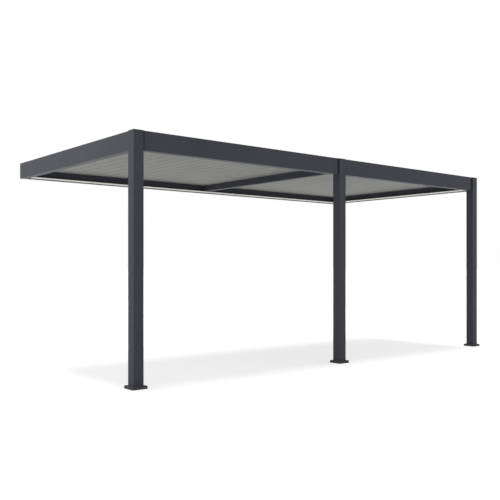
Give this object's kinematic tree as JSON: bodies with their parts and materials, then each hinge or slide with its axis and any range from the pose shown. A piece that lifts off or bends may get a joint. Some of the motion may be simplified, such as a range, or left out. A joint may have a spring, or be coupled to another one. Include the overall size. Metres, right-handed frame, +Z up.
{
  "type": "louvered pergola",
  "caption": "Wall-mounted aluminium pergola with bays of turning louvers on push rods, square posts with foot covers, gutter beams and a light line round the roof.",
  "frame": {"origin": "on the underside of the middle post's base plate, under the post's centre", "axes": "+X to the right along the front, +Y from the posts to the wall, +Z up"},
  "size_m": [5.872, 2.935, 2.5],
  "materials": {
    "frame_paint": "satin",
    "louver_paint": "satin",
    "light_diffuser": "matte"
  },
  "bodies": {
    "frame": {"post_left": "frame_paint", "post_middle": "frame_paint", "post_right": "frame_paint", "post_caps": "frame_paint", "foot_covers": "frame_paint", "front_beam_left": "frame_paint", "front_beam_right": "frame_paint", "side_beam_left": "frame_paint", "side_beam_right": "frame_paint", "wall_beam": "frame_paint", "crossing_beam": "frame_paint", "pivot_rails_front": "frame_paint", "pivot_rails_wall": "frame_paint", "closing_strips": "louver_paint", "light_strips": "light_diffuser"},
    "louver_left_01": {"louver_left_01": "louver_paint"},
    "louver_left_02": {"louver_left_02": "louver_paint"},
    "louver_left_03": {"louver_left_03": "louver_paint"},
    "louver_left_04": {"louver_left_04": "louver_paint"},
    "louver_left_05": {"louver_left_05": "louver_paint"},
    "louver_left_06": {"louver_left_06": "louver_paint"},
    "louver_left_07": {"louver_left_07": "louver_paint"},
    "louver_left_08": {"louver_left_08": "louver_paint"},
    "louver_left_09": {"louver_left_09": "louver_paint"},
    "louver_left_10": {"louver_left_10": "louver_paint"},
    "louver_left_11": {"louver_left_11": "louver_paint"},
    "louver_left_12": {"louver_left_12": "louver_paint"},
    "louver_left_13": {"louver_left_13": "louver_paint"},
    "louver_left_14": {"louver_left_14": "louver_paint"},
    "louver_left_15": {"louver_left_15": "louver_paint"},
    "louver_left_16": {"louver_left_16": "louver_paint"},
    "louver_left_17": {"louver_left_17": "louver_paint"},
    "louver_left_18": {"louver_left_18": "louver_paint"},
    "push_rod_left": {"push_rod_left": "frame_paint"},
    "louver_right_01": {"louver_right_01": "louver_paint"},
    "louver_right_02": {"louver_right_02": "louver_paint"},
    "louver_right_03": {"louver_right_03": "louver_paint"},
    "louver_right_04": {"louver_right_04": "louver_paint"},
    "louver_right_05": {"louver_right_05": "louver_paint"},
    "louver_right_06": {"louver_right_06": "louver_paint"},
    "louver_right_07": {"louver_right_07": "louver_paint"},
    "louver_right_08": {"louver_right_08": "louver_paint"},
    "louver_right_09": {"louver_right_09": "louver_paint"},
    "louver_right_10": {"louver_right_10": "louver_paint"},
    "louver_right_11": {"louver_right_11": "louver_paint"},
    "louver_right_12": {"louver_right_12": "louver_paint"},
    "louver_right_13": {"louver_right_13": "louver_paint"},
    "louver_right_14": {"louver_right_14": "louver_paint"},
    "louver_right_15": {"louver_right_15": "louver_paint"},
    "louver_right_16": {"louver_right_16": "louver_paint"},
    "louver_right_17": {"louver_right_17": "louver_paint"},
    "louver_right_18": {"louver_right_18": "louver_paint"},
    "push_rod_right": {"push_rod_right": "frame_paint"}
  },
  "joints": [
    {"name": "louver_left_turn", "type": "hinge", "parent": "frame", "child": "louver_left_01", "pos_m": [-2.7, 1.4075, 2.443], "axis": [0, -1, 0], "range_deg": [0, 105]},
    {"name": "louver_left_02_turn", "type": "hinge", "parent": "frame", "child": "louver_left_02", "pos_m": [-2.55, 1.4075, 2.443], "axis": [0, -1, 0], "range_deg": [0, 105]},
    {"name": "louver_left_03_turn", "type": "hinge", "parent": "frame", "child": "louver_left_03", "pos_m": [-2.4, 1.4075, 2.443], "axis": [0, -1, 0], "range_deg": [0, 105]},
    {"name": "louver_left_04_turn", "type": "hinge", "parent": "frame", "child": "louver_left_04", "pos_m": [-2.25, 1.4075, 2.443], "axis": [0, -1, 0], "range_deg": [0, 105]},
    {"name": "louver_left_05_turn", "type": "hinge", "parent": "frame", "child": "louver_left_05", "pos_m": [-2.1, 1.4075, 2.443], "axis": [0, -1, 0], "range_deg": [0, 105]},
    {"name": "louver_left_06_turn", "type": "hinge", "parent": "frame", "child": "louver_left_06", "pos_m": [-1.95, 1.4075, 2.443], "axis": [0, -1, 0], "range_deg": [0, 105]},
    {"name": "louver_left_07_turn", "type": "hinge", "parent": "frame", "child": "louver_left_07", "pos_m": [-1.8, 1.4075, 2.443], "axis": [0, -1, 0], "range_deg": [0, 105]},
    {"name": "louver_left_08_turn", "type": "hinge", "parent": "frame", "child": "louver_left_08", "pos_m": [-1.65, 1.4075, 2.443], "axis": [0, -1, 0], "range_deg": [0, 105]},
    {"name": "louver_left_09_turn", "type": "hinge", "parent": "frame", "child": "louver_left_09", "pos_m": [-1.5, 1.4075, 2.443], "axis": [0, -1, 0], "range_deg": [0, 105]},
    {"name": "louver_left_10_turn", "type": "hinge", "parent": "frame", "child": "louver_left_10", "pos_m": [-1.35, 1.4075, 2.443], "axis": [0, -1, 0], "range_deg": [0, 105]},
    {"name": "louver_left_11_turn", "type": "hinge", "parent": "frame", "child": "louver_left_11", "pos_m": [-1.2, 1.4075, 2.443], "axis": [0, -1, 0], "range_deg": [0, 105]},
    {"name": "louver_left_12_turn", "type": "hinge", "parent": "frame", "child": "louver_left_12", "pos_m": [-1.05, 1.4075, 2.443], "axis": [0, -1, 0], "range_deg": [0, 105]},
    {"name": "louver_left_13_turn", "type": "hinge", "parent": "frame", "child": "louver_left_13", "pos_m": [-0.9, 1.4075, 2.443], "axis": [0, -1, 0], "range_deg": [0, 105]},
    {"name": "louver_left_14_turn", "type": "hinge", "parent": "frame", "child": "louver_left_14", "pos_m": [-0.75, 1.4075, 2.443], "axis": [0, -1, 0], "range_deg": [0, 105]},
    {"name": "louver_left_15_turn", "type": "hinge", "parent": "frame", "child": "louver_left_15", "pos_m": [-0.6, 1.4075, 2.443], "axis": [0, -1, 0], "range_deg": [0, 105]},
    {"name": "louver_left_16_turn", "type": "hinge", "parent": "frame", "child": "louver_left_16", "pos_m": [-0.45, 1.4075, 2.443], "axis": [0, -1, 0], "range_deg": [0, 105]},
    {"name": "louver_left_17_turn", "type": "hinge", "parent": "frame", "child": "louver_left_17", "pos_m": [-0.3, 1.4075, 2.443], "axis": [0, -1, 0], "range_deg": [0, 105]},
    {"name": "louver_left_18_turn", "type": "hinge", "parent": "frame", "child": "louver_left_18", "pos_m": [-0.15, 1.4075, 2.443], "axis": [0, -1, 0], "range_deg": [0, 105]},
    {"name": "push_rod_left_swing", "type": "hinge", "parent": "louver_left_01", "child": "push_rod_left", "pos_m": [-2.67937, -0.0025, 2.45883], "axis": [0, -1, 0], "range_deg": [-105, 0]},
    {"name": "louver_right_turn", "type": "hinge", "parent": "frame", "child": "louver_right_01", "pos_m": [0.15, 1.4075, 2.443], "axis": [0, -1, 0], "range_deg": [0, 105]},
    {"name": "louver_right_02_turn", "type": "hinge", "parent": "frame", "child": "louver_right_02", "pos_m": [0.3, 1.4075, 2.443], "axis": [0, -1, 0], "range_deg": [0, 105]},
    {"name": "louver_right_03_turn", "type": "hinge", "parent": "frame", "child": "louver_right_03", "pos_m": [0.45, 1.4075, 2.443], "axis": [0, -1, 0], "range_deg": [0, 105]},
    {"name": "louver_right_04_turn", "type": "hinge", "parent": "frame", "child": "louver_right_04", "pos_m": [0.6, 1.4075, 2.443], "axis": [0, -1, 0], "range_deg": [0, 105]},
    {"name": "louver_right_05_turn", "type": "hinge", "parent": "frame", "child": "louver_right_05", "pos_m": [0.75, 1.4075, 2.443], "axis": [0, -1, 0], "range_deg": [0, 105]},
    {"name": "louver_right_06_turn", "type": "hinge", "parent": "frame", "child": "louver_right_06", "pos_m": [0.9, 1.4075, 2.443], "axis": [0, -1, 0], "range_deg": [0, 105]},
    {"name": "louver_right_07_turn", "type": "hinge", "parent": "frame", "child": "louver_right_07", "pos_m": [1.05, 1.4075, 2.443], "axis": [0, -1, 0], "range_deg": [0, 105]},
    {"name": "louver_right_08_turn", "type": "hinge", "parent": "frame", "child": "louver_right_08", "pos_m": [1.2, 1.4075, 2.443], "axis": [0, -1, 0], "range_deg": [0, 105]},
    {"name": "louver_right_09_turn", "type": "hinge", "parent": "frame", "child": "louver_right_09", "pos_m": [1.35, 1.4075, 2.443], "axis": [0, -1, 0], "range_deg": [0, 105]},
    {"name": "louver_right_10_turn", "type": "hinge", "parent": "frame", "child": "louver_right_10", "pos_m": [1.5, 1.4075, 2.443], "axis": [0, -1, 0], "range_deg": [0, 105]},
    {"name": "louver_right_11_turn", "type": "hinge", "parent": "frame", "child": "louver_right_11", "pos_m": [1.65, 1.4075, 2.443], "axis": [0, -1, 0], "range_deg": [0, 105]},
    {"name": "louver_right_12_turn", "type": "hinge", "parent": "frame", "child": "louver_right_12", "pos_m": [1.8, 1.4075, 2.443], "axis": [0, -1, 0], "range_deg": [0, 105]},
    {"name": "louver_right_13_turn", "type": "hinge", "parent": "frame", "child": "louver_right_13", "pos_m": [1.95, 1.4075, 2.443], "axis": [0, -1, 0], "range_deg": [0, 105]},
    {"name": "louver_right_14_turn", "type": "hinge", "parent": "frame", "child": "louver_right_14", "pos_m": [2.1, 1.4075, 2.443], "axis": [0, -1, 0], "range_deg": [0, 105]},
    {"name": "louver_right_15_turn", "type": "hinge", "parent": "frame", "child": "louver_right_15", "pos_m": [2.25, 1.4075, 2.443], "axis": [0, -1, 0], "range_deg": [0, 105]},
    {"name": "louver_right_16_turn", "type": "hinge", "parent": "frame", "child": "louver_right_16", "pos_m": [2.4, 1.4075, 2.443], "axis": [0, -1, 0], "range_deg": [0, 105]},
    {"name": "louver_right_17_turn", "type": "hinge", "parent": "frame", "child": "louver_right_17", "pos_m": [2.55, 1.4075, 2.443], "axis": [0, -1, 0], "range_deg": [0, 105]},
    {"name": "louver_right_18_turn", "type": "hinge", "parent": "frame", "child": "louver_right_18", "pos_m": [2.7, 1.4075, 2.443], "axis": [0, -1, 0], "range_deg": [0, 105]},
    {"name": "push_rod_right_swing", "type": "hinge", "parent": "louver_right_01", "child": "push_rod_right", "pos_m": [0.17063, -0.0025, 2.45883], "axis": [0, -1, 0], "range_deg": [-105, 0]}
  ],
  "couplings": [
    {"joint": "louver_left_02_turn", "follows": "louver_left_turn", "ratio": 1},
    {"joint": "louver_left_03_turn", "follows": "louver_left_turn", "ratio": 1},
    {"joint": "louver_left_04_turn", "follows": "louver_left_turn", "ratio": 1},
    {"joint": "louver_left_05_turn", "follows": "louver_left_turn", "ratio": 1},
    {"joint": "louver_left_06_turn", "follows": "louver_left_turn", "ratio": 1},
    {"joint": "louver_left_07_turn", "follows": "louver_left_turn", "ratio": 1},
    {"joint": "louver_left_08_turn", "follows": "louver_left_turn", "ratio": 1},
    {"joint": "louver_left_09_turn", "follows": "louver_left_turn", "ratio": 1},
    {"joint": "louver_left_10_turn", "follows": "louver_left_turn", "ratio": 1},
    {"joint": "louver_left_11_turn", "follows": "louver_left_turn", "ratio": 1},
    {"joint": "louver_left_12_turn", "follows": "louver_left_turn", "ratio": 1},
    {"joint": "louver_left_13_turn", "follows": "louver_left_turn", "ratio": 1},
    {"joint": "louver_left_14_turn", "follows": "louver_left_turn", "ratio": 1},
    {"joint": "louver_left_15_turn", "follows": "louver_left_turn", "ratio": 1},
    {"joint": "louver_left_16_turn", "follows": "louver_left_turn", "ratio": 1},
    {"joint": "louver_left_17_turn", "follows": "louver_left_turn", "ratio": 1},
    {"joint": "louver_left_18_turn", "follows": "louver_left_turn", "ratio": 1},
    {"joint": "push_rod_left_swing", "follows": "louver_left_turn", "ratio": -1},
    {"joint": "louver_right_02_turn", "follows": "louver_right_turn", "ratio": 1},
    {"joint": "louver_right_03_turn", "follows": "louver_right_turn", "ratio": 1},
    {"joint": "louver_right_04_turn", "follows": "louver_right_turn", "ratio": 1},
    {"joint": "louver_right_05_turn", "follows": "louver_right_turn", "ratio": 1},
    {"joint": "louver_right_06_turn", "follows": "louver_right_turn", "ratio": 1},
    {"joint": "louver_right_07_turn", "follows": "louver_right_turn", "ratio": 1},
    {"joint": "louver_right_08_turn", "follows": "louver_right_turn", "ratio": 1},
    {"joint": "louver_right_09_turn", "follows": "louver_right_turn", "ratio": 1},
    {"joint": "louver_right_10_turn", "follows": "louver_right_turn", "ratio": 1},
    {"joint": "louver_right_11_turn", "follows": "louver_right_turn", "ratio": 1},
    {"joint": "louver_right_12_turn", "follows": "louver_right_turn", "ratio": 1},
    {"joint": "louver_right_13_turn", "follows": "louver_right_turn", "ratio": 1},
    {"joint": "louver_right_14_turn", "follows": "louver_right_turn", "ratio": 1},
    {"joint": "louver_right_15_turn", "follows": "louver_right_turn", "ratio": 1},
    {"joint": "louver_right_16_turn", "follows": "louver_right_turn", "ratio": 1},
    {"joint": "louver_right_17_turn", "follows": "louver_right_turn", "ratio": 1},
    {"joint": "louver_right_18_turn", "follows": "louver_right_turn", "ratio": 1},
    {"joint": "push_rod_right_swing", "follows": "louver_right_turn", "ratio": -1}
  ]
}
